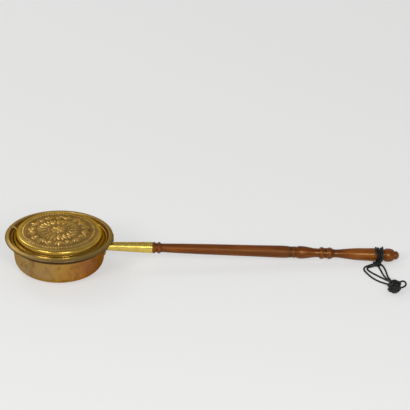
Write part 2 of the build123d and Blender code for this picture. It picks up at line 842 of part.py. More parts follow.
# A stretch of lace along its route: straight runs joined by tangent arcs
def lay_lace(label, points):
    radii = bend_radii(points)
    with BuildPart() as piece:
        with BuildLine() as route:
            FilletPolyline(*points, radius=radii)
        with BuildSketch(Plane(origin=route.wire() @ 0, z_dir=route.wire() % 0)):
            Circle(lace_diameter / 2)
        sweep(path=route.wire())
    whole = pi * lace_diameter ** 2 / 4 * route.wire().length
    share = round(piece.part.volume / whole, 4)
    print(label, "length", round(route.wire().length, 1), "volume share", share)
    print(label, "bend radii", [round(r, 1) for r in radii])
    piece.part.label = label
    export_step(piece.part, f"parts/{label}.step")
    return piece.part


# Winding: the lace runs round the handle's groove on a helix, from under the handle to its front
winding_r = cord_groove_r + winding_clearance + lace_diameter / 2
winding_pitch = lace_diameter + winding_gap
winding_first = grip_end + lace_diameter / 2 + winding_gap
hitch_angle = asin((knob_diameter / 2 - hitch_diameter / 2) / hitch_reach)
reach_angle = atan2(sqrt(hitch_reach ** 2 - winding_r ** 2), winding_r)
winding_sweep = 2 * pi * winding_turns + 2 * pi - 2 * reach_angle
handle_up = Vector(sin(handle_tilt), 0, cos(handle_tilt))
handle_front = Vector(0, -1, 0)


# Point and direction of the winding, a share of the way along it
def winding_point(share):
    angle = -hitch_angle - reach_angle - winding_sweep * share
    advance = winding_pitch * winding_sweep * share / (2 * pi)
    out = handle_front * cos(angle) + handle_up * sin(angle)
    return handle_root + handle_dir * (winding_first + advance) + out * winding_r


def winding_direction(share):
    angle = -hitch_angle - reach_angle - winding_sweep * share
    round_way = handle_front * sin(angle) - handle_up * cos(angle)
    return (round_way * winding_r + handle_dir * winding_pitch / (2 * pi)).normalized()


# Two tangent arcs from one point and direction to the next
def biarc(start, start_way, end, end_way):
    chord = end - start
    ways = start_way + end_way
    spread = 2 * (1 - start_way.dot(end_way))
    along = chord.dot(ways)
    reach = (sqrt(along ** 2 + spread * chord.dot(chord)) - along) / spread
    middle = (start + start_way * reach + end - end_way * reach) * 0.5
    middle_way = (end - end_way * reach) - (start + start_way * reach)
    TangentArc(start, middle, tangent=start_way)
    TangentArc(middle, end, tangent=middle_way)


# Hitch: the lump where the winding's ends are tied, lying in front of the handle's underside
winding_middle = winding_first + winding_pitch * winding_sweep / (4 * pi)
hitch_middle = handle_root + handle_dir * (winding_middle - hitch_back)
hitch_middle = hitch_middle + handle_front * hitch_reach * cos(hitch_angle)
hitch_middle = Vector(hitch_middle.X, hitch_middle.Y, hitch_diameter / 2 + lace_floor_gap)

winding_steps = round(winding_sweep / (pi / 2))
winding_in = winding_point(0) - winding_direction(0) * hitch_lead
winding_out = winding_point(1) + winding_direction(1) * lead_out_straight
winding_end = hitch_middle + Vector(hitch_width / 4, 0, lace_diameter / 2)
with BuildPart() as cord_winding:
    with BuildLine() as winding_line:
        Line(winding_in, winding_point(0))
        for step in range(winding_steps):
            here, there = step / winding_steps, (step + 1) / winding_steps
            biarc(
                winding_point(here), winding_direction(here), winding_point(there), winding_direction(there)
            )
        Line(winding_point(1), winding_out)
        TangentArc(winding_out, winding_end, tangent=winding_direction(1))
    with BuildSketch(Plane(origin=winding_in, z_dir=winding_direction(0))):
        Circle(lace_diameter / 2)
    sweep(path=winding_line.wire())
cord_winding.part.label = "cord_winding"
export_step(cord_winding.part, "parts/cord_winding.step")
winding_length = winding_line.wire().length
winding_share = cord_winding.part.volume / (pi * lace_diameter ** 2 / 4 * winding_length)
print("winding length", round(winding_length, 1), "volume share", round(winding_share, 4))


# Least gap of a tube to itself, between points at least a near reach apart along it
def own_gap(wire, diameter, near):
    count = int(wire.length)
    points = [wire @ (k / count) for k in range(count + 1)]
    pairs = (
        (points[i] - points[j]).length for i in range(count + 1) for j in range(i + near, count + 1)
    )
    return min(pairs) - diameter


least_gap = own_gap(winding_line.wire(), lace_diameter, winding_check_reach)
print("winding least gap to itself", round(least_gap, 3))


# Round lump of knotted lace, longer along X
def knot_lump(label, middle, length, diameter):
    with BuildPart() as piece:
        with BuildSketch(Plane(origin=middle, x_dir=(1, 0, 0), z_dir=(0, -1, 0))):
            Ellipse(length / 2, diameter / 2)
            Rectangle(length, diameter, align=(Align.CENTER, Align.MAX), mode=Mode.SUBTRACT)
        revolve(axis=Axis(tuple(middle), (1, 0, 0)))
    piece.part.label = label
    export_step(piece.part, f"parts/{label}.step")
    return piece.part


cord_hitch = knot_lump("cord_hitch", hitch_middle, hitch_width, hitch_diameter)
knot_middle = Vector(knot_past_pan, -knot_forward, knot_diameter / 2 + lace_floor_gap)
cord_knot = knot_lump("cord_knot", knot_middle, knot_width, knot_diameter)
print("hitch", hitch_middle, "knot", knot_middle)

# Four strands of the doubled lace, from the hitch to the knot, lying on the floor
lie = lace_diameter / 2 + lace_floor_gap
left_outer = [
    (849, -28.5, 8),
    (841, -28.5, 5.5),
    (832, -29.5, lie),
    (824.5, -35, lie),
    (820, -43.5, lie),
    (820, -53.5, lie),
    (823.5, -63.5, lie),
    (828.5, -75, lie),
    (835.5, -89, lie),
    (844.5, -103.5, lie),
    (855.5, -116, lie),
    (868, -126, lie),
    (878.5, -136, lie + 2),
    (885, -149, lie + 5),
    (890, -161.5, lie + 8),
    (893, -171, lie + 11),
]
left_inner = [
    (851, -34.5, 6),
    (844.5, -35.5, 4),
    (837, -36, lie),
    (830.5, -40, lie),
    (828.5, -47.5, lie),
    (831.5, -56, lie),
    (838.5, -66.5, lie),
    (849, -79, lie),
    (860.5, -92, lie),
    (870.5, -103, lie),
    (879.5, -112.5, lie),
    (886.5, -123, lie + 2),
    (891.5, -136, lie + 6),
    (895.5, -149.5, lie + 10.5),
    (898.5, -161, lie + 14),
]
right_outer = [
    (858.5, -28, 9),
    (865.5, -29, 7.5),
    (872, -34.5, lie + 1.5),
    (875.5, -45, lie),
    (878, -59, lie),
    (880, -74.5, lie),
    (882.5, -91, lie + 1.5),
    (886, -108, lie + 5),
    (889, -125.5, lie + 9.5),
    (892, -142, lie + 14),
    (894.5, -157, lie + 17),
    (896.5, -169, lie + 18.5),
]
right_inner = [
    (856.5, -32, 7.5),
    (860, -38, 4.5),
    (863, -46.5, lie),
    (865.5, -58, lie),
    (868, -71.5, lie),
    (871, -84, lie),
    (874.5, -97, lie + 1.5),
    (878, -111.5, lie + 5),
    (881.5, -127, lie + 9),
    (885.5, -142, lie + 12.5),
    (889, -155, lie + 15),
    (892, -166.5, lie + 16.5),
]
knot_loop = [
    (905.5, -164.5, 21),
    (911, -157, 22.5),
    (919, -151, 22),
    (925.5, -154, 20),
    (927.5, -162, 17.5),
    (923, -170.5, 15.5),
    (914.5, -175.5, 15),
    (905.5, -178, 16),
]
strands = {
    "cord_left_outer": left_outer,
    "cord_left_inner": left_inner,
    "cord_right_outer": right_outer,
    "cord_right_inner": right_inner,
    "cord_knot_loop": knot_loop,
}
for label, points in strands.items():
    lay_lace(label, points)
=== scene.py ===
# %% [markdown]
# # An antique bed warmer
# A warming pan is a lidded brass pan on a long handle. Hot embers went into the pan, the lid was
# shut, and the pan was slid between cold sheets. This lesson dresses a finished CAD model of one:
# it lights it, gives each piece its own worn metal, wood or leather, and models what CAD leaves
# plain, which is the embossed lid and the knotted lace.

# %% Load the CAD model as a fixed frame
import json
from math import atan2, cos, exp, hypot, pi, radians, sin, sqrt, tan

import bmesh
import bpy
from mathutils import Matrix, Vector, noise

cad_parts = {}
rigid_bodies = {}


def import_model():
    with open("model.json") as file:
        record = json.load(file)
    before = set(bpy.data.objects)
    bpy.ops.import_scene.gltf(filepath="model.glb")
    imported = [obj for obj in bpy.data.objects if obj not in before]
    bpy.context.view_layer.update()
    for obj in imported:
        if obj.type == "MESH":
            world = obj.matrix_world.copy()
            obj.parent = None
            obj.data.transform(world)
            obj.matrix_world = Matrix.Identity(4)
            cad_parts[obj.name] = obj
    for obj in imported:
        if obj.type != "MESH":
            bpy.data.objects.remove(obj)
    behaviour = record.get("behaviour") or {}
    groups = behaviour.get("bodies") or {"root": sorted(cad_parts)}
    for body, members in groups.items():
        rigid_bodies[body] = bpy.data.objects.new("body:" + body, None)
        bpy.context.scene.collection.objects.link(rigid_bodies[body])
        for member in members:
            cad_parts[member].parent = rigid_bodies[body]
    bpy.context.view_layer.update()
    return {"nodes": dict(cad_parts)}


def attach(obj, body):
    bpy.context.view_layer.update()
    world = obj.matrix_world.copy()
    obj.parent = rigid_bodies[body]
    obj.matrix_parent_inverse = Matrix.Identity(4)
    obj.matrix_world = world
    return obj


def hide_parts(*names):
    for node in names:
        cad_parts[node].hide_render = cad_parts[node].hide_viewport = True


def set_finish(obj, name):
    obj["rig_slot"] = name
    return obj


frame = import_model()
MM = 0.001
nodes = frame["nodes"]
print("loaded", len(nodes), "CAD nodes")

# %% [markdown]
# ## Camera
# The photograph was taken from far away with a long lens, a little above the pan, so the lid is a
# flat ellipse and the handle hardly gets smaller towards us. A long lens on a distant camera gives
# the same view.

# %% Place the camera
camera_aim = Vector((0.4020, 0.3346, 0.0))
camera_distance = 16.494
camera_height = radians(28.19)
camera_turn = radians(-1.555)
look = Vector((
    -sin(camera_turn) * cos(camera_height),
    cos(camera_turn) * cos(camera_height),
    -sin(camera_height),
))
camera = bpy.data.objects.new("camera", bpy.data.cameras.new("camera"))
camera.data.sensor_width = 36
camera.data.lens = 526.8
camera.data.clip_end = 60
camera.location = camera_aim - look * camera_distance
camera.rotation_euler = look.to_track_quat("-Z", "Y").to_euler()
bpy.context.scene.collection.objects.link(camera)
bpy.context.scene.camera = camera
bpy.context.scene.view_settings.view_transform = "Standard"
print("camera at", [round(v, 2) for v in camera.location])

# %% [markdown]
# ## The lace
# A round black lace is wound round the groove behind the knob, hitched in front of it, and runs
# doubled to a big knot. Every stretch is one smooth NURBS curve with a round bevel: a few control
# points are enough, and moving one of them bends the lace the way a real one bends.

# %% A helper that turns a route into a lace
lace_diameter = 5 * MM
curve_order = 3


def lay_curve(name, points, radius, closed=False):
    """A round cord along smooth points, given in metres."""
    data = bpy.data.curves.new(name, "CURVE")
    data.dimensions = "3D"
    # One metre times each point's own radius, so that the curve's box is as slim as the cord
    data.bevel_depth = 1
    data.bevel_resolution = 4
    data.resolution_u = 6
    data.use_fill_caps = not closed
    spline = data.splines.new("NURBS")
    spline.points.add(len(points) - 1)
    for place, point in zip(spline.points, points):
        place.co = (*point, 1)
        place.radius = radius
    spline.order_u = curve_order
    spline.use_cyclic_u = closed
    spline.use_endpoint_u = not closed
    piece = bpy.data.objects.new(name, data)
    bpy.context.scene.collection.objects.link(piece)
    return piece


def line_length(curve):
    """Length of a curve's own line, read from the curve without its bevel."""
    bare = curve.copy()
    bare.data = curve.data.copy()
    bare.data.bevel_depth = 0
    mesh = bpy.data.meshes.new_from_object(bare)
    places = [v.co for v in mesh.vertices]
    return sum((b - a).length for a, b in zip(places, places[1:]))


print("a helper for lace", round(lace_diameter / MM, 1), "mm thick")

# %% Four strands and the small bight
# Routes are in millimetres; lie is the height of the lace's middle where it lies on the floor
lie = 2.6
routes = {
    "left_outer": [
        (849, -28.5, 8), (841, -28.5, 5.5), (832, -29.5, lie), (824.5, -35, lie),
        (820, -43.5, lie), (820, -53.5, lie), (823.5, -63.5, lie), (828.5, -75, lie),
        (835.5, -89, lie), (844.5, -103.5, lie), (855.5, -116, lie), (868, -126, lie),
        (878.5, -136, lie + 2), (885, -149, lie + 5), (890, -161.5, lie + 8),
        (893, -171, lie + 11),
    ],
    "left_inner": [
        (851, -34.5, 6), (844.5, -35.5, 4), (837, -36, lie), (830.5, -40, lie),
        (828.5, -47.5, lie), (831.5, -56, lie), (838.5, -66.5, lie), (849, -79, lie),
        (860.5, -92, lie), (870.5, -103, lie), (879.5, -112.5, lie), (886.5, -123, lie + 2),
        (891.5, -136, lie + 6), (895.5, -149.5, lie + 10.5), (898.5, -161, lie + 14),
    ],
    "right_outer": [
        (858.5, -28, 9), (865.5, -29, 7.5), (872, -34.5, lie + 1.5), (875.5, -45, lie),
        (878, -59, lie), (880, -74.5, lie), (881, -91, lie + 1.5), (883.5, -108, lie + 5),
        (886.5, -125.5, lie + 9.5), (889.5, -142, lie + 14), (893, -157, lie + 17),
        (896, -169, lie + 18.5),
    ],
    "right_inner": [
        (856.5, -32, 7.5), (860, -38, 4.5), (863, -46.5, lie), (865.5, -58, lie),
        (868, -71.5, lie), (871, -84, lie), (874.5, -97, lie + 1.5), (878, -111.5, lie + 5),
        (881.5, -127, lie + 9), (885.5, -142, lie + 12.5), (889, -155, lie + 15),
        (892, -166.5, lie + 16.5),
    ],
    "knot_loop": [
        (905.5, -164.5, 21), (911, -157, 22.5), (919, -151, 22), (925.5, -154, 20),
        (927.5, -162, 17.5), (923, -170.5, 15.5), (914.5, -175.5, 15), (905.5, -178, 16),
    ],
}
for name, route in routes.items():
    piece = lay_curve("lace_" + name, [Vector(p) * MM for p in route], lace_diameter / 2)
    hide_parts("cord_" + name)
    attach(piece, "pan")
    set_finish(piece, "lace")
    length = line_length(piece)
    print(piece.name, round(length * 1000), "mm")

# %% [markdown]
# ## The winding
# The lace goes more than three and a half times round the groove, and its turns don't lie quite
# side by side. A helix gives the turns their places, and each turn is then leaned out and lifted
# a little where it passes over the top. Straight leads take both ends off the handle to the hitch.

# %% The handle's axis, and the winding's sizes
handle_root = Vector((123.809, 0, 58)) * MM
handle_tilt = radians(2.94805)
handle_dir = Vector((cos(handle_tilt), 0, -sin(handle_tilt)))
handle_up = Vector((sin(handle_tilt), 0, cos(handle_tilt)))
handle_start = handle_root.dot(handle_dir)
handle_front = Vector((0, -1, 0))
winding_first = 734.9 * MM
winding_pitch = 4.5 * MM
winding_radius = 17.5 * MM
# Angles round the handle, in radians from its front: the hitch lies below the front, and the lead
# from it meets the groove further round
hitch_angle, lead_angle = 0.32129, 1.00741
winding_start = -hitch_angle - lead_angle
winding_sweep = 23.11793
lead_in = 21 * MM
lead_out = 6 * MM
hitch_middle = Vector((856.5, -30.65, 8.8)) * MM
# The winding's end comes down from behind to the hitch's right side
hitch_back = Vector((9, 3, 4)) * MM
hitch_side = Vector((5.75, 0, 2)) * MM
steps_a_turn = 16
# The turn at which each lean is widest, how far it leans out and how far it lifts, in millimetres
top_leans = ((0.54, 7.5, 2.2), (1.54, 5.5, 0.8), (2.54, 3.5, 0.0))
lean_width = 0.18
# The last turn crosses the others from this turn on
crossing_start, crossing_width = 3.1, 0.5
over_reach, over_lift = 2.8, 4.2
# Where the handle's end rests on the lace, the lace is pressed in
floor_press = 0.8
# A NURBS line of order 3 runs inside its control points, so they stand a little further out
spread = 1 / (0.75 + 0.25 * cos(2 * pi / steps_a_turn))
winding_turns = winding_sweep / (2 * pi)
print("winding of", round(winding_turns, 2), "turns")


# %% Wind the lace
def round_handle(angle, along, radius):
    """The point at an angle round the handle, at a place along it."""
    out = handle_front * cos(angle) + handle_up * sin(angle)
    return handle_root + handle_dir * along + out * radius


def winding_way(angle):
    """The direction in which the lace runs round the handle."""
    return (handle_front * sin(angle) - handle_up * cos(angle)).normalized()


winding_count = round(winding_turns * steps_a_turn)
turns = []
for k in range(winding_count + 1):
    share = k / winding_count
    angle = winding_start - winding_sweep * share
    turn = winding_turns * share
    along = winding_first + winding_pitch * turn
    crossing = min(1, max(0, (turn - crossing_start) / crossing_width))
    lean = over_reach * crossing
    lift = over_lift * crossing - floor_press * max(0, -sin(angle)) ** 2
    for top, top_lean, top_lift in top_leans:
        near_top = exp(-(((turn - top) / lean_width) ** 2))
        lean += top_lean * near_top
        lift += top_lift * near_top
    place = round_handle(angle, along - lean * MM, winding_radius * spread + lift * MM)
    turns.append(place)
first_way = winding_way(winding_start)
last_way = winding_way(winding_start - winding_sweep)
start = round_handle(winding_start, winding_first, winding_radius)
end_along = winding_first + winding_pitch * winding_turns
end = round_handle(
    winding_start - winding_sweep, end_along - over_reach * MM, winding_radius + over_lift * MM)
# Each lead has two points in line, so that it stays straight
winding_points = [start - first_way * lead_in, start - first_way * lead_in * 0.4, *turns]
winding_points += [end + last_way * lead_out, end + last_way * lead_out * 2.6]
winding_points += [hitch_middle + hitch_back, hitch_middle + hitch_side]
winding = lay_curve("lace_winding", winding_points, lace_diameter / 2)
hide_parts("cord_winding")
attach(winding, "pan")
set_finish(winding, "lace")
length = line_length(winding)
print("winding", round(length * 1000), "mm long")

# %% [markdown]
# ## The end knot
# The big knot is drawn as one lace that weaves round a ball, over and under itself, like a
# sailor's woven knot: the longitude runs three times round while the latitude swings five times.
# Two such laces side by side cover the ball, as they do in a doubled thong. A plain ball inside
# closes the small gaps between them.


# %% The end knot
def ball(name, middle, sizes):
    """A smooth ellipsoid, sizes being its three half widths."""
    mesh = bpy.data.meshes.new(name)
    shape = bmesh.new()
    bmesh.ops.create_icosphere(shape, subdivisions=4, radius=1)
    bmesh.ops.scale(shape, vec=sizes, verts=shape.verts)
    bmesh.ops.translate(shape, vec=middle, verts=shape.verts)
    for face in shape.faces:
        face.smooth = True
    shape.to_mesh(mesh)
    shape.free()
    piece = bpy.data.objects.new(name, mesh)
    bpy.context.scene.collection.objects.link(piece)
    return piece


knot_middle = Vector((895, -177.5, 20.0)) * MM
knot_ball = 15.5 * MM
knot_weave = 1.7 * MM
knot_width = 1.07
knot_tilt = Matrix.Rotation(radians(38), 3, "X") @ Matrix.Rotation(radians(24), 3, "Y")
knot_steps = 150
# How far the weave swings from the knot's equator, and how far the second lace is turned on
swing = radians(58)
second_turn = 0.34


def weave_point(t, shift):
    """A point of the woven lace; t runs once from 0 to a full turn."""
    latitude = swing * cos(5 * t)
    longitude = 3 * t + shift
    reach = knot_ball + knot_weave * sin(10 * t)
    flat = reach * cos(latitude)
    place = Vector((flat * cos(longitude), flat * sin(longitude), reach * sin(latitude)))
    place = knot_tilt @ place
    place.x *= knot_width
    return knot_middle + place


for side, shift in (("a", 0.0), ("b", second_turn)):
    points = [weave_point(2 * pi * k / knot_steps, shift) for k in range(knot_steps)]
    strand = lay_curve("knot_lace_" + side, points, lace_diameter / 2, closed=True)
    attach(strand, "pan")
    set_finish(strand, "lace")
    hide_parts("cord_knot")
knot_core = ball("knot_core", knot_middle, (15.6 * MM, 14.8 * MM, 14.8 * MM))
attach(knot_core, "pan")
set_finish(knot_core, "lace")
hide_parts("cord_knot")
print("end knot of", 2 * knot_steps, "points")

# %% [markdown]
# ## The hitch
# Where the two ends of the winding meet, the lace is rolled a few times round them. One coil that
# is fatter in the middle gives that lump, and a slim ball fills its inside.

# %% The hitch
hitch_points = []
hitch_turns = 4.6
hitch_steps = 74
hitch_length = 19 * MM
hitch_reach = 5.9 * MM
# Half the length of the ellipse that the coil follows
swell_half = 14 * MM
for k in range(hitch_steps + 1):
    share = k / hitch_steps
    angle = 2 * pi * hitch_turns * share
    along = (share - 0.5) * hitch_length
    reach = hitch_reach * sqrt(1 - (along / swell_half) ** 2)
    hitch_points.append(hitch_middle + Vector((along, reach * cos(angle), reach * sin(angle))))
hitch = lay_curve("hitch_lace", hitch_points, lace_diameter / 2)
hitch_core = ball("hitch_core", hitch_middle, (11.5 * MM, 5 * MM, 5 * MM))
for piece in (hitch, hitch_core):
    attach(piece, "pan")
    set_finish(piece, "lace")
    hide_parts("cord_hitch")
print("hitch of", hitch_turns, "turns")

# %% [markdown]
# ## The embossed lid
# The lid was raised from one sheet of brass and then worked from behind with punches, so its
# panel stands up in a low relief. Its outline is drawn once and spun round, with rings close
# enough to carry the relief. Each vertex of the panel is then pushed up by a height that is worked
# out from its radius and angle: a flower, a ring of leaves, a running vine and a row of beads.
# A Solidify modifier gives the sheet its thickness afterwards.

# %% The lid's outline, in millimetres from the pan's axis and above the floor
lid_lift = 83.24
panel_radius = 104.62
panel_rise = 22.1
crown_rise = 5.0
crown_ball = (panel_radius ** 2 + crown_rise ** 2) / (2 * crown_rise)
# Corners from the panel's edge to the brim's, each with its radius
lid_corners = [
    (panel_radius, panel_rise, 0), (114.12, 21.19, 8.0), (117.12, 6.8, 1.2), (121.12, 6.8, 1.6),
    (128.22, -2.8, 4.0), (134.82, 11.2, 2.6), (144.52, 7.6, 0),
]
curl_radius = 2.25
curl_sweep = radians(265)
curl_steps = 14
ring_spacing = 1.55
corner_step = 0.9
longest_run = 2.4


def rounded(corners, step):
    """Points on straight runs with rounded corners, each corner given as (x, y, radius)."""
    way = []
    for before, here, after in zip(corners, corners[1:], corners[2:]):
        spot = Vector(here[:2])
        back = (Vector(before[:2]) - spot).normalized()
        onward = (Vector(after[:2]) - spot).normalized()
        turn = pi - back.angle(onward)
        middle = spot + (back + onward).normalized() * here[2] / cos(turn / 2)
        spoke = spot + back * here[2] * tan(turn / 2) - middle
        side = 1 if onward.cross(back) > 0 else -1
        pieces = max(3, round(here[2] * turn / step))
        for k in range(pieces + 1):
            way.append(middle + Matrix.Rotation(side * turn * k / pieces, 2) @ spoke)
    return [Vector(corners[0][:2]), *way, Vector(corners[-1][:2])]


def divided(points, longest):
    """The same runs with extra points, so that none is longer than given."""
    way = [points[0]]
    for here, there in zip(points, points[1:]):
        pieces = max(1, round((there - here).length / longest))
        way += [here.lerp(there, (k + 1) / pieces) for k in range(pieces)]
    return way


crown_rings = round(panel_radius / ring_spacing)
lid_line = []
crown_middle = panel_rise + crown_rise - crown_ball
for k in range(crown_rings):
    r = panel_radius * k / crown_rings
    lid_line.append(Vector((r, crown_middle + sqrt(crown_ball ** 2 - r * r))))
lid_line += divided(rounded(lid_corners, corner_step), longest_run)
brim_way = (lid_line[-1] - lid_line[-2]).normalized()
curl_middle = lid_line[-1] + Vector((brim_way.y, -brim_way.x)) * curl_radius
curl_spoke = lid_line[-1] - curl_middle
for k in range(1, curl_steps + 1):
    curl_turn = Matrix.Rotation(-curl_sweep * k / curl_steps, 2)
    lid_line.append(curl_middle + curl_turn @ curl_spoke)
print(len(lid_line), "rings in the lid")

# %% [markdown]
# ## The relief's motifs
# Each motif is a small height field: it says how high the sheet stands at a point. Where motifs
# meet, the higher one wins, as it does under a punch. Round swellings are the base of them all.

# %% The relief's motifs: radii from the lid's middle, and heights, in millimetres
flower_edge, flower_reach, flower_petals = 24, 22, 8
cable_ring, cable_half, cable_twists = 27.5, 1.8, 40
leaf_foot, leaf_length, leaf_width = 31, 27, 13
bud_foot, bud_length, bud_width = 44, 15, 7
leaf_count, bead_count = 16, 84
vine_middle, vine_swing, vine_waves, vine_half = 73.0, 8.5, 9, 1.7
small_reach, small_petals, small_inset = 8.5, 6, 3.5
spray_leans = (-0.62, 0.0, 0.62)
bead_ring, bead_reach = 96.2, 2.9
# The fine rings on each side of the beads, with their half widths
fine_rings = ((90.5, 1.5), (101.8, 1.4))
relief_top = 2.3
# The share of its full height at which the whole relief is struck
relief_depth = 0.85
# Heights of the motifs
flower_high, small_high, ring_high, bead_high = 2.1, 1.7, 0.7, 1.9
leaf_high, bud_high, vine_high, spray_high = 1.7, 1.3, 1.4, 1.5
vein_spacing, vein_depth = 4.2, 0.22
print("relief of", leaf_count, "leaves,", vine_waves, "flowers and", bead_count, "beads")


# %% Domes, leaves and flowers
def dome(distance, reach):
    """A round swelling: 1 in the middle, 0 at its reach."""
    return sqrt(max(0.0, 1 - (distance / reach) ** 2))


def leaf(along, aside, length, width):
    """A pointed leaf with a midrib and slanting veins; along runs from foot to tip."""
    share = along / length
    if not 0 < share < 1:
        return 0.0
    half = width / 2 * sin(pi * share ** 0.7) ** 0.8
    veins = 1 + vein_depth * cos((along - abs(aside)) * 2 * pi / vein_spacing)
    return dome(aside, half) * veins + 0.35 * dome(aside, 0.9) * (1 - share)


def flower(x, y, reach, petals):
    """A round flower with scalloped petals and a raised eye."""
    r, turn = hypot(x, y), atan2(y, x)
    scallop = abs(cos(petals / 2 * turn))
    edge = reach * (0.66 + 0.34 * scallop)
    return dome(r, edge) * (0.7 + 0.3 * scallop) + 0.7 * dome(r, reach * 0.24)


def sector(turn, count, offset=0.0):
    """The angle from the middle of the nearest of count equal sectors."""
    pitch = 2 * pi / count
    return (turn - offset + pitch / 2) % pitch - pitch / 2


print("a leaf's middle stands", round(leaf(leaf_length / 2, 0, leaf_length, leaf_width), 2))


# %% The whole design
def relief(r, turn):
    """The height of the whole design at a radius and an angle."""
    if r < flower_edge:
        x, y = r * cos(turn), r * sin(turn)
        return flower_high * flower(x, y, flower_reach, flower_petals)
    height = dome(r - cable_ring, cable_half) * (0.8 + 0.2 * cos(cable_twists * turn))
    for ring, half_width in fine_rings:
        height = max(height, ring_high * dome(r - ring, half_width))
    leaf_side = sector(turn, leaf_count) * r
    long_leaf = leaf(r - leaf_foot, leaf_side, leaf_length, leaf_width)
    bud_side = sector(turn, leaf_count, pi / leaf_count) * r
    bud = leaf(r - bud_foot, bud_side, bud_length, bud_width)
    height = max(height, leaf_high * long_leaf, bud_high * bud)
    bead_side = sector(turn, bead_count) * r
    height = max(height, bead_high * dome(hypot(bead_side, r - bead_ring), bead_reach))
    slope = vine_swing * vine_waves / vine_middle * cos(vine_waves * turn)
    stem = (r - vine_middle - vine_swing * sin(vine_waves * turn)) / hypot(1, slope)
    height = max(height, vine_high * dome(stem, vine_half))
    inner = sector(turn, vine_waves, pi / 2 / vine_waves) * r
    small = flower(inner, r - vine_middle + small_inset, small_reach, small_petals)
    height = max(height, small_high * small)
    outer_turn = sector(turn, vine_waves, -pi / 2 / vine_waves)
    for lean in spray_leans:
        x, y = outer_turn * r, r - (vine_middle - vine_swing)
        along, aside = x * sin(lean) + y * cos(lean), x * cos(lean) - y * sin(lean)
        height = max(height, spray_high * leaf(along - 2, aside, 20 - 6 * abs(lean), 7))
    return height


print("relief at a bead:", round(relief(bead_ring, 0), 2), "mm")

# %% Spin the lid and raise its panel
lid_segments = 384
sheet_thickness = 0.9 * MM
# Fine hammer marks between the motifs, in millimetres: uneven ground and radial strokes
ground_depth, ground_scale = 0.22, 420
stroke_depth, stroke_count, stroke_full = 0.12, 144, 60
shape = bmesh.new()
height_layer = shape.verts.layers.float.new("relief")
line_verts = [shape.verts.new(Vector((p.x, 0, p.y + lid_lift)) * MM) for p in lid_line]
line_edges = [shape.edges.new(pair) for pair in zip(line_verts, line_verts[1:])]
bmesh.ops.spin(
    shape, geom=line_verts + line_edges, cent=(0, 0, 0), axis=(0, 0, 1), angle=2 * pi,
    steps=lid_segments, use_merge=True,
)
bmesh.ops.remove_doubles(shape, verts=shape.verts, dist=0.01 * MM)
for vert in shape.verts:
    r, turn = hypot(vert.co.x, vert.co.y) / MM, atan2(vert.co.y, vert.co.x)
    vert[height_layer] = 1.0
    if r < panel_radius:
        strokes = cos(stroke_count * turn) * min(1, r / stroke_full)
        ground = ground_depth * noise.noise(vert.co * ground_scale) + stroke_depth * strokes
        height = relief(r, turn)
        vert.co.z += (height + ground * (1 - min(1, height))) * relief_depth * MM
        vert[height_layer] = height / relief_top
bmesh.ops.recalc_face_normals(shape, faces=shape.faces)
if max(shape.faces, key=lambda f: f.calc_center_median().z).normal.z < 0:
    bmesh.ops.reverse_faces(shape, faces=shape.faces)
for face in shape.faces:
    face.smooth = True
lid_mesh = bpy.data.meshes.new("embossed_lid")
shape.to_mesh(lid_mesh)
shape.free()
embossed_lid = bpy.data.objects.new("embossed_lid", lid_mesh)
bpy.context.scene.collection.objects.link(embossed_lid)
sheet = embossed_lid.modifiers.new("sheet", "SOLIDIFY")
sheet.thickness = sheet_thickness
sheet.offset = -1
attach(embossed_lid, "lid")
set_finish(embossed_lid, "lid_sheet")
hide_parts("lid")
print("lid:", len(lid_mesh.polygons), "faces")

# %% [markdown]
# ## Helpers for node trees
# Materials, the room and the floor are all small trees of nodes. A few helpers keep them short:
# one adds a node and links it, and the others make the sums, blends and colour ramps that every
# finish needs.


# %% A helper that adds and links nodes
def add(tree, kind, links=None, **settings):
    """Adds a shader node; links are values or other nodes' sockets for its inputs."""
    made = tree.nodes.new(kind)
    for key, value in settings.items():
        setattr(made, key, value)
    for key, value in (links or {}).items():
        socket = made.inputs[key]
        if isinstance(value, bpy.types.NodeSocket):
            tree.links.new(value, socket)
        else:
            socket.default_value = value
    return made


print("one helper for all nodes")


# %% Helpers for sums, blends and ramps
def stretch(tree, value, low, high, to_low=0.0, to_high=1.0):
    """Spreads a value between two limits, and clamps it there."""
    made = add(tree, "ShaderNodeMapRange", {
        "Value": value, "From Min": low, "From Max": high, "To Min": to_low, "To Max": to_high,
    })
    return made.outputs["Result"]


def math(tree, what, a, b=0.0):
    """One sum with two values."""
    return add(tree, "ShaderNodeMath", {0: a, 1: b}, operation=what).outputs[0]


def blend(tree, share, first, second, how="MIX"):
    """Mixes two colours, each a socket or three numbers."""
    first, second = (
        colour if isinstance(colour, bpy.types.NodeSocket) else (*colour, 1)
        for colour in (first, second)
    )
    made = add(
        tree, "ShaderNodeMix", {0: share, 6: first, 7: second}, data_type="RGBA", blend_type=how)
    return made.outputs[2]


def colour_ramp(tree, share, stops):
    """Looks up a colour at a share from 0 to 1; each stop is a place and a colour."""
    made = add(tree, "ShaderNodeValToRGB", {"Fac": share})
    elements = made.color_ramp.elements
    while len(elements) < len(stops):
        elements.new(0.5)
    for element, (place, colour) in zip(elements, stops):
        element.position = place
        element.color = (*colour, 1)
    return made.outputs["Color"]


print("sums, blends and ramps ready")


# %% Helpers for materials
def new_material(name):
    """An empty material and its node tree."""
    material = bpy.data.materials.new(name)
    material.use_nodes = True
    material.node_tree.nodes.clear()
    return material, material.node_tree


def finish_material(tree, shader):
    """Gives the tree its output."""
    output = add(tree, "ShaderNodeOutputMaterial")
    tree.links.new(shader.outputs[0], output.inputs["Surface"])


print("materials ready")

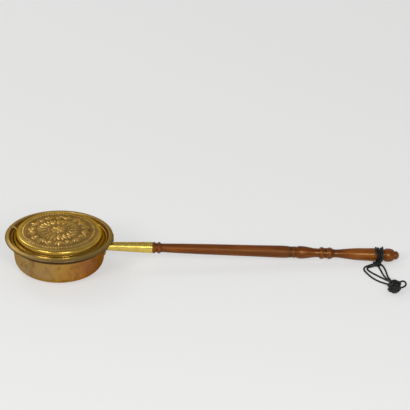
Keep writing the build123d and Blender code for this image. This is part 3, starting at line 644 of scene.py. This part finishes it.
# %% [markdown]
# ## Floor and light
# Brass shows what stands round it. Three soft lamps give the broad highlights of the photograph:
# the key lamp at the front left, one at the front right for the shine along the handle, and a weak
# one behind. The room is pale up to eye level and darker overhead, which gives the dark tones that
# make metal look like metal. The floor is paler than the lamps make it: the camera and mirroring
# metal see it glow a little, while dull surfaces get no light from that.

# %% Floor
floor_mesh = bpy.data.meshes.new("floor")
floor_shape = bmesh.new()
bmesh.ops.create_grid(floor_shape, x_segments=1, y_segments=1, size=12)
floor_shape.to_mesh(floor_mesh)
floor_shape.free()
floor = bpy.data.objects.new("floor", floor_mesh)
bpy.context.scene.collection.objects.link(floor)
floor_material, tree = new_material("pale_paper")
floor_glow = 0.55
ray = add(tree, "ShaderNodeLightPath")
shown = ray.outputs["Is Camera Ray"]
for kind in ("Is Glossy Ray", "Is Transmission Ray"):
    shown = math(tree, "MAXIMUM", shown, ray.outputs[kind])
paper = add(tree, "ShaderNodeBsdfPrincipled", {
    "Base Color": (0.45, 0.45, 0.45, 1), "Roughness": 0.9, "Specular IOR Level": 0.1,
    "Emission Color": (0.82, 0.82, 0.81, 1),
    "Emission Strength": math(tree, "MULTIPLY", shown, floor_glow),
})
finish_material(tree, paper)
floor_mesh.materials.append(floor_material)
print("floor of pale paper")

# %% Room and lamps
# Tones of the room from straight down, at 0, to straight up, at 1
room_stops = [
    (0.0, (0.70, 0.70, 0.70)), (0.50, (0.80, 0.80, 0.80)), (0.57, (0.76, 0.76, 0.76)),
    (0.66, (0.48, 0.475, 0.47)), (0.76, (0.42, 0.42, 0.425)), (0.88, (0.34, 0.345, 0.35)),
    (1.0, (0.30, 0.305, 0.31)),
]
world = bpy.data.worlds.new("room")
bpy.context.scene.world = world
world.use_nodes = True
tree = world.node_tree
tree.nodes.clear()
way = add(tree, "ShaderNodeTexCoord")
split = add(tree, "ShaderNodeSeparateXYZ", {"Vector": way.outputs["Generated"]})
room_colour = colour_ramp(tree, stretch(tree, split.outputs["Z"], -1, 1), room_stops)
# The side of the room behind the camera is a little darker
toward_front = stretch(tree, split.outputs["Y"], -0.15, -0.75, 1.0, 0.75)
around = add(tree, "ShaderNodeBackground", {"Color": room_colour, "Strength": toward_front})
output = add(tree, "ShaderNodeOutputWorld")
tree.links.new(around.outputs[0], output.inputs["Surface"])


def hang_lamp(name, place, target, size, watts, colour):
    """A rectangular lamp at a place, turned to its target."""
    data = bpy.data.lights.new(name, "AREA")
    data.shape = "RECTANGLE"
    data.size, data.size_y = size
    data.energy = watts
    data.color = colour
    lamp = bpy.data.objects.new(name, data)
    lamp.location = place
    aim = Vector(target) - Vector(place)
    lamp.rotation_euler = aim.to_track_quat("-Z", "Y").to_euler()
    bpy.context.scene.collection.objects.link(lamp)


hang_lamp("key_lamp", (-2.9, -3.3, 3.0), (0.1, 0, 0), (1.8, 1.6), 84, (1.0, 0.985, 0.96))
hang_lamp("back_lamp", (-1.7, 2.7, 3.0), (0, 0, 0), (1.5, 1.2), 20, (0.98, 0.99, 1.0))
hang_lamp("front_lamp", (1.3, -4.3, 2.7), (0.6, 0, 0), (1.3, 1.9), 92, (1.0, 0.99, 0.98))
print("room and three lamps")

# %% [markdown]
# ## Shared effects
# Old metal is never one colour: it darkens in clouds, and it is scratched and faintly dented.
# Each of these effects is a node group that gives out only a mask or a height, so every finish
# below can use the same group with its own scale.


# %% A helper for node groups
def new_group(name, inputs, outputs):
    """A node group with named sockets, and its two end nodes."""
    group = bpy.data.node_groups.new(name, "ShaderNodeTree")
    for label, kind, value in inputs:
        socket = group.interface.new_socket(name=label, in_out="INPUT", socket_type=kind)
        if value is not None:
            socket.default_value = value
    for label, kind in outputs:
        group.interface.new_socket(name=label, in_out="OUTPUT", socket_type=kind)
    return group, add(group, "NodeGroupInput"), add(group, "NodeGroupOutput")


FLOAT, VECTOR = "NodeSocketFloat", "NodeSocketVector"
print("node groups can be made")

# %% Clouds of tarnish
clouds, given, out = new_group(
    "tarnish_clouds",
    [("Vector", VECTOR, None), ("Scale", FLOAT, 20.0), ("Low", FLOAT, 0.4), ("High", FLOAT, 0.62)],
    [("Mask", FLOAT)],
)
large = add(clouds, "ShaderNodeTexNoise", {
    "Vector": given.outputs["Vector"], "Scale": given.outputs["Scale"], "Detail": 7.0,
    "Roughness": 0.62, "Distortion": 0.4,
})
mask = stretch(clouds, large.outputs["Fac"], given.outputs["Low"], given.outputs["High"])
clouds.links.new(mask, out.inputs["Mask"])
print(clouds.name, "made")

# %% Fine scratches
scratches, given, out = new_group(
    "fine_scratches",
    [("Vector", VECTOR, None), ("Along", FLOAT, 1.0), ("Across", FLOAT, 40.0)],
    [("Mask", FLOAT)],
)
pull = add(scratches, "ShaderNodeCombineXYZ", {
    "X": given.outputs["Along"], "Y": given.outputs["Across"], "Z": given.outputs["Across"],
})
pulled = add(scratches, "ShaderNodeVectorMath", {
    0: given.outputs["Vector"], 1: pull.outputs[0],
}, operation="MULTIPLY")
fibres = add(scratches, "ShaderNodeTexNoise", {
    "Vector": pulled.outputs[0], "Scale": 8.0, "Detail": 5.0, "Roughness": 0.6,
})
scratches.links.new(fibres.outputs["Fac"], out.inputs["Mask"])
print(scratches.name, "made")

# %% Hammer dents
dents, given, out = new_group(
    "hammer_dents", [("Vector", VECTOR, None), ("Scale", FLOAT, 60.0)], [("Height", FLOAT)]
)
cells = add(dents, "ShaderNodeTexVoronoi", {
    "Vector": given.outputs["Vector"], "Scale": given.outputs["Scale"],
}, feature="SMOOTH_F1")
soft_cells = stretch(dents, cells.outputs["Distance"], 0.0, 0.9)
ripple = add(dents, "ShaderNodeTexNoise", {
    "Vector": given.outputs["Vector"], "Scale": 9.0, "Detail": 2.0,
})
dent_sum = math(dents, "ADD", math(dents, "MULTIPLY", soft_cells, 0.4), ripple.outputs["Fac"])
dents.links.new(dent_sum, out.inputs["Height"])
print(dents.name, "made")


# %% Helpers that place the groups
def use(tree, group, links):
    """Places a node group and gives its result."""
    return add(tree, "ShaderNodeGroup", links, node_tree=group).outputs[0]


def place_of(tree, rotation=(0, 0, 0)):
    """Object coordinates, turned by a Mapping node."""
    coordinates = add(tree, "ShaderNodeTexCoord")
    mapping = add(tree, "ShaderNodeMapping", {
        "Vector": coordinates.outputs["Object"], "Rotation": rotation,
    })
    return mapping.outputs["Vector"]


def bump(tree, height, strength, distance=1 * MM):
    """A normal that is tilted by a height pattern."""
    made = add(tree, "ShaderNodeBump", {
        "Height": height, "Strength": strength, "Distance": distance,
    })
    return made.outputs["Normal"]


print("groups:", [g.name for g in bpy.data.node_groups])

# %% [markdown]
# ## Old brass
# The lid, the ferrule and the bracket are all brass, but polished, handled and tarnished to
# different degrees. One function mixes a clean colour with a tarnished one through the cloud
# group, makes the tarnish rougher, and adds scratches and dents as a bump.


# %% The brass function
edge_tint = (0.72, 0.50, 0.20, 1)


def old_brass(name, clean, dull, low, high, smooth, rough, dent=0.25):
    """Clean and dull colours, the tarnish's limits, both roughnesses and the dents' strength."""
    material, tree = new_material(name)
    place = place_of(tree)
    tarnish = use(tree, clouds, {"Vector": place, "Scale": 22.0, "Low": low, "High": high})
    speckle = use(tree, clouds, {"Vector": place, "Scale": 198.0, "Low": 0.45, "High": 0.7})
    tarnish = math(tree, "ADD", math(tree, "MULTIPLY", tarnish, 0.85), math(
        tree, "MULTIPLY", speckle, 0.2))
    tarnish = stretch(tree, tarnish, 0.0, 1.0)
    colour = blend(tree, tarnish, clean, dull)
    scratch = use(tree, scratches, {"Vector": place, "Along": 12.0, "Across": 60.0})
    roughness = math(tree, "ADD", stretch(tree, tarnish, 0, 1, smooth, rough), stretch(
        tree, scratch, 0.3, 0.7, -0.04, 0.04))
    hollow = use(tree, dents, {"Vector": place, "Scale": 55.0})
    height = math(tree, "ADD", hollow, math(tree, "MULTIPLY", scratch, 0.12))
    shader = add(tree, "ShaderNodeBsdfPrincipled", {
        "Base Color": colour, "Roughness": roughness, "Metallic": 1.0,
        "Specular Tint": edge_tint, "Normal": bump(tree, height, dent),
    })
    finish_material(tree, shader)
    return material


def dress(material, *names):
    """Gives CAD nodes their material."""
    for name in names:
        mesh = nodes[name].data
        mesh.materials.clear()
        mesh.materials.append(material)


ferrule_brass = old_brass(
    "polished_ferrule", (0.76, 0.57, 0.125), (0.50, 0.34, 0.07), 0.45, 0.8, 0.26, 0.42, dent=0.12)
cast_brass = old_brass(
    "green_cast_brass", (0.34, 0.27, 0.12), (0.10, 0.10, 0.06), 0.35, 0.6, 0.42, 0.62, dent=0.5)
rivet_brass = old_brass(
    "worn_rivets", (0.60, 0.42, 0.17), (0.22, 0.15, 0.06), 0.4, 0.65, 0.32, 0.5)
tab_brass = old_brass(
    "bright_tab", (0.86, 0.66, 0.28), (0.45, 0.30, 0.11), 0.5, 0.75, 0.25, 0.4)
dress(ferrule_brass, "ferrule")
dress(cast_brass, "handle_bracket", "lid_hinge_leaf")
dress(rivet_brass, "bracket_rivets", "hinge_rivets", "lift_tab_rivet", "ferrule_nails")
dress(tab_brass, "lid_lift_tab")
print("brass finishes dressed")

# %% [markdown]
# ## The lid's finish
# Polish only reaches the high parts, and dirt stays in the hollows. The relief was stored on the
# mesh as an attribute while it was made, so the finish can read how high each point stands. The
# rings round the panel each have their own tone, which follows the distance from the middle; the
# dark tones of the channel and of the curl's outside are painted shade.

# %% Lid brass
# Tones of the rings, each at a share of the ramp's reach from the lid's middle
ring_reach = 150 * MM
# The channel's dark stops, from 0.785 to 0.850, and the curl's outer stop at 0.968 are painted
# shade
ring_stops = [
    (0.690, (0.80, 0.50, 0.15)), (0.715, (0.76, 0.50, 0.12)), (0.765, (0.55, 0.34, 0.055)),
    (0.785, (0.36, 0.21, 0.03)), (0.850, (0.34, 0.20, 0.035)), (0.885, (0.42, 0.27, 0.08)),
    (0.905, (0.47, 0.33, 0.12)), (0.950, (0.40, 0.27, 0.09)), (0.968, (0.24, 0.15, 0.06)),
]
dirt_and_shade_colour = (0.20, 0.125, 0.045)
shade_colour = (0.035, 0.025, 0.015)
# The brim's curl gets painted shade below these heights, outside this radius
shade_from, shade_to = 89.2 * MM, 88.2 * MM
curl_inside = 140.5 * MM
# Outside the channel the brim is rougher than the panel, as hands have dulled it
brim_from, brim_to = 127 * MM, 133 * MM
brim_extra = 0.17

lid_finish, tree = new_material("embossed_brass")
place = place_of(tree)
flat_place = add(tree, "ShaderNodeVectorMath", {0: place, 1: (1, 1, 0)}, operation="MULTIPLY")
radius = add(
    tree, "ShaderNodeVectorMath", {0: flat_place.outputs[0]}, operation="LENGTH").outputs["Value"]
ring_colour = colour_ramp(tree, math(tree, "DIVIDE", radius, ring_reach), ring_stops)
raised = add(tree, "ShaderNodeAttribute", attribute_name="relief")
hollow_mask = stretch(tree, raised.outputs["Fac"], 0.04, 0.50, 1.0, 0.0)
cloud = use(tree, clouds, {"Vector": place, "Scale": 26.0, "Low": 0.40, "High": 0.68})
speck = use(tree, clouds, {"Vector": place, "Scale": 210.0, "Low": 0.46, "High": 0.72})
dirt_and_shade = math(tree, "ADD", math(tree, "MULTIPLY", hollow_mask, 0.62), math(
    tree, "ADD", math(tree, "MULTIPLY", cloud, 0.28), math(tree, "MULTIPLY", speck, 0.16)))
lid_height = add(tree, "ShaderNodeSeparateXYZ", {"Vector": place}).outputs["Z"]
outside = math(tree, "GREATER_THAN", radius, curl_inside)
# Painted shade on the outside of the curl's lower half, added to the dirt mask as well
shade = math(tree, "MULTIPLY", stretch(tree, lid_height, shade_from, shade_to), outside)
dirt_and_shade = stretch(tree, math(tree, "ADD", dirt_and_shade, shade), 0.0, 1.0)
lid_colour = blend(tree, dirt_and_shade, ring_colour, dirt_and_shade_colour)
lid_colour = blend(tree, shade, lid_colour, shade_colour)
brim_wear = stretch(tree, radius, brim_from, brim_to, 0.0, brim_extra)
lid_scratch = use(tree, scratches, {"Vector": place, "Along": 30.0, "Across": 30.0})
lid_bump = math(tree, "ADD", use(tree, dents, {"Vector": place, "Scale": 70.0}), math(
    tree, "MULTIPLY", lid_scratch, 0.2))
lid_shader = add(tree, "ShaderNodeBsdfPrincipled", {
    "Base Color": lid_colour, "Metallic": 1.0, "Specular Tint": edge_tint,
    "Roughness": math(tree, "ADD", stretch(tree, dirt_and_shade, 0, 1, 0.24, 0.5), brim_wear),
    "Normal": bump(tree, lid_bump, 0.16),
})
finish_material(tree, lid_shader)
lid_mesh.materials.append(lid_finish)
print("lid finished")

# %% [markdown]
# ## The pan
# The pan's colour runs from side to side, partly heat colour and partly painted reflection: a dull
# tan at the far left, ochre in the middle, and copper red towards the handle. The colours follow
# the
# X axis, shifted about by clouds so no border shows.
# A band of painted shade on the wall just below the rim draws the dark line under the brim.

# %% Pan
# Tones from the pan's left side, at 0, to the handle's side, at 1: heat colour and painted
# reflection
heat_and_reflection_stops = [
    (0.0, (0.40, 0.31, 0.20)), (0.22, (0.40, 0.25, 0.095)), (0.5, (0.50, 0.27, 0.055)),
    (0.72, (0.42, 0.175, 0.042)), (0.9, (0.31, 0.12, 0.045)), (1.0, (0.24, 0.10, 0.045)),
]
side_tone_reach = 135 * MM
# A band of painted shade on the wall just below the rim, where the lid's brim overhangs it
rim_shade_from, rim_shade_to = 69.0 * MM, 72.2 * MM
rim_shade_share = 0.94

pan_finish, tree = new_material("heated_pan")
place = place_of(tree)
axes = add(tree, "ShaderNodeSeparateXYZ", {"Vector": place})
wander = add(tree, "ShaderNodeTexNoise", {
    "Vector": place, "Scale": 14.0, "Detail": 4.0, "Roughness": 0.55,
})
shift = stretch(tree, wander.outputs["Fac"], 0.3, 0.7, -0.035, 0.035)
across = stretch(
    tree, math(tree, "ADD", axes.outputs["X"], shift), -side_tone_reach, side_tone_reach)
heat_and_reflection_colour = colour_ramp(tree, across, heat_and_reflection_stops)
soot = use(tree, clouds, {"Vector": place, "Scale": 34.0, "Low": 0.5, "High": 0.72})
grime = use(tree, clouds, {"Vector": place, "Scale": 160.0, "Low": 0.52, "High": 0.75})
stain = stretch(tree, math(tree, "ADD", soot, math(tree, "MULTIPLY", grime, 0.5)), 0, 1.3)
pan_colour = blend(tree, stain, heat_and_reflection_colour, (0.15, 0.09, 0.04))
# Painted shade: the wall just below the rim darkens towards the brim
rim_shade = stretch(tree, axes.outputs["Z"], rim_shade_from, rim_shade_to, 0.0, rim_shade_share)
pan_colour = blend(tree, rim_shade, pan_colour, (0.045, 0.028, 0.014))
pan_shader = add(tree, "ShaderNodeBsdfPrincipled", {
    "Base Color": pan_colour, "Metallic": 1.0, "Specular Tint": edge_tint,
    "Roughness": stretch(tree, stain, 0, 1, 0.36, 0.58),
    "Normal": bump(tree, use(tree, dents, {"Vector": place, "Scale": 42.0}), 0.3),
})
finish_material(tree, pan_shader)
dress(pan_finish, "pan_body")
print("pan finished")

# %% [markdown]
# ## Iron
# The wires in the rims and the two pins are plain dark iron. The brass function makes it too,
# since old iron also clouds and dulls, only darker and rougher.

# %% Iron
iron = old_brass("dark_iron", (0.10, 0.09, 0.08), (0.07, 0.045, 0.03), 0.4, 0.6, 0.45, 0.7)
dress(iron, "pan_rim_wire", "lid_rim_wire", "hinge_pin", "ferrule_pin")
print("wires and pins in iron")

# %% [markdown]
# ## Turned wood
# The handle is a red-brown hardwood, stained and waxed. Its grain runs along it, so the pattern
# changes about fourteen times as fast across the handle as along it. The Mapping node turns the
# coordinates until their X runs down the handle. Dark wax has gathered in the turned grooves, the
# grip is worn paler, and the wax is a thin clear coat.

# %% The wood's tones and places
wood_stops = [
    (0.28, (0.060, 0.011, 0.001)), (0.45, (0.125, 0.026, 0.001)), (0.58, (0.205, 0.048, 0.002)),
    (0.75, (0.31, 0.085, 0.006)),
]
grain_stretch = (2.2, 30, 30)
# Places along the handle in millimetres from its start
grooves_from, grooves_to = 120, 820
# Each groove's middle and half its width
grooves = (
    (138.2, 2.2), (152.5, 3.0), (500.8, 7.5), (515.6, 3.0), (578.3, 2.2), (595.0, 4.8),
    (613.8, 3.5), (782.5, 2.5),
)
groove_tone = 0.14
wear_from, wear_to = 600, 690
wear_share = 0.14
shine_from, shine_to = 495, 520
# How much rougher the shaft is than the turned end
shaft_extra = 0.19
print("wood with", len(grooves), "dark grooves")

# %% The wood's grain
wood, tree = new_material("waxed_hardwood")
grain_place = place_of(tree, (0, -handle_tilt, 0))
long_grain = add(tree, "ShaderNodeMapping", {"Vector": grain_place, "Scale": grain_stretch})
figure = add(tree, "ShaderNodeTexNoise", {
    "Vector": long_grain.outputs[0], "Scale": 3.2, "Detail": 6.0, "Roughness": 0.6,
    "Distortion": 0.35,
})
pores = use(tree, scratches, {"Vector": grain_place, "Along": 5.0, "Across": 130.0})
patches = use(tree, clouds, {"Vector": grain_place, "Scale": 16.0, "Low": 0.35, "High": 0.7})
wood_colour = colour_ramp(tree, figure.outputs["Fac"], wood_stops)
pore_share = math(tree, "MULTIPLY", stretch(tree, pores, 0.56, 0.72), 0.75)
wood_colour = blend(tree, pore_share, wood_colour, (0.035, 0.008, 0.002))
patch_share = math(tree, "MULTIPLY", patches, 0.35)
wood_colour = blend(tree, patch_share, wood_colour, (0.09, 0.02, 0.004))
print("grain runs down the handle")

# %% Wear, grooves and shine along the handle
along = add(tree, "ShaderNodeVectorMath", {
    0: place_of(tree), 1: (cos(handle_tilt), 0, -sin(handle_tilt)),
}, operation="DOT_PRODUCT").outputs["Value"]


def along_handle(start, end, to_start=0.0, to_end=1.0):
    """A value that changes between two places along the handle."""
    return stretch(
        tree, along, handle_start + start * MM, handle_start + end * MM, to_start, to_end)


worn = math(tree, "MULTIPLY", along_handle(wear_from, wear_to), wear_share)
wood_colour = blend(tree, worn, wood_colour, (0.42, 0.14, 0.015))
groove_stops = []
for middle, half in grooves:
    for offset, tone in ((-half, 1.0), (0, groove_tone), (half, 1.0)):
        share = (middle + offset - grooves_from) / (grooves_to - grooves_from)
        groove_stops.append((share, (tone, tone, tone)))
groove_colour = colour_ramp(tree, along_handle(grooves_from, grooves_to), groove_stops)
wood_colour = blend(tree, 0.85, wood_colour, groove_colour, "MULTIPLY")
handled = along_handle(shine_from, shine_to, shaft_extra, 0.0)
wood_shader = add(tree, "ShaderNodeBsdfPrincipled", {
    "Base Color": wood_colour,
    "Roughness": math(tree, "ADD", handled, stretch(tree, pores, 0.3, 0.7, 0.27, 0.35)),
    "Specular IOR Level": 0.8, "Specular Tint": (1.0, 0.54, 0.22, 1),
    "Coat Weight": 0.03, "Coat Roughness": 0.15,
    "Normal": bump(tree, pores, 0.12, 0.4 * MM),
})
finish_material(tree, wood_shader)
dress(wood, "handle")
print("handle dressed in wood")

# %% [markdown]
# ## Black leather lace
# Leather is almost black but still catches light on its grain, so it has a fine pebbled bump and
# a middling roughness instead of plain black.

# %% Leather
leather, tree = new_material("black_leather_lace")
place = place_of(tree)
pebble = add(tree, "ShaderNodeTexVoronoi", {"Vector": place, "Scale": 900.0})
rub = use(tree, clouds, {"Vector": place, "Scale": 90.0, "Low": 0.42, "High": 0.7})
leather_colour = blend(tree, rub, (0.006, 0.006, 0.006), (0.022, 0.020, 0.018))
leather_shader = add(tree, "ShaderNodeBsdfPrincipled", {
    "Base Color": leather_colour, "Roughness": stretch(tree, rub, 0, 1, 0.42, 0.62),
    "Specular IOR Level": 0.3,
    "Normal": bump(tree, pebble.outputs["Distance"], 0.5, 0.4 * MM),
})
finish_material(tree, leather_shader)
for piece in bpy.data.objects:
    if piece.get("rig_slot") == "lace":
        piece.data.materials.clear()
        piece.data.materials.append(leather)
print("lace dressed in leather")
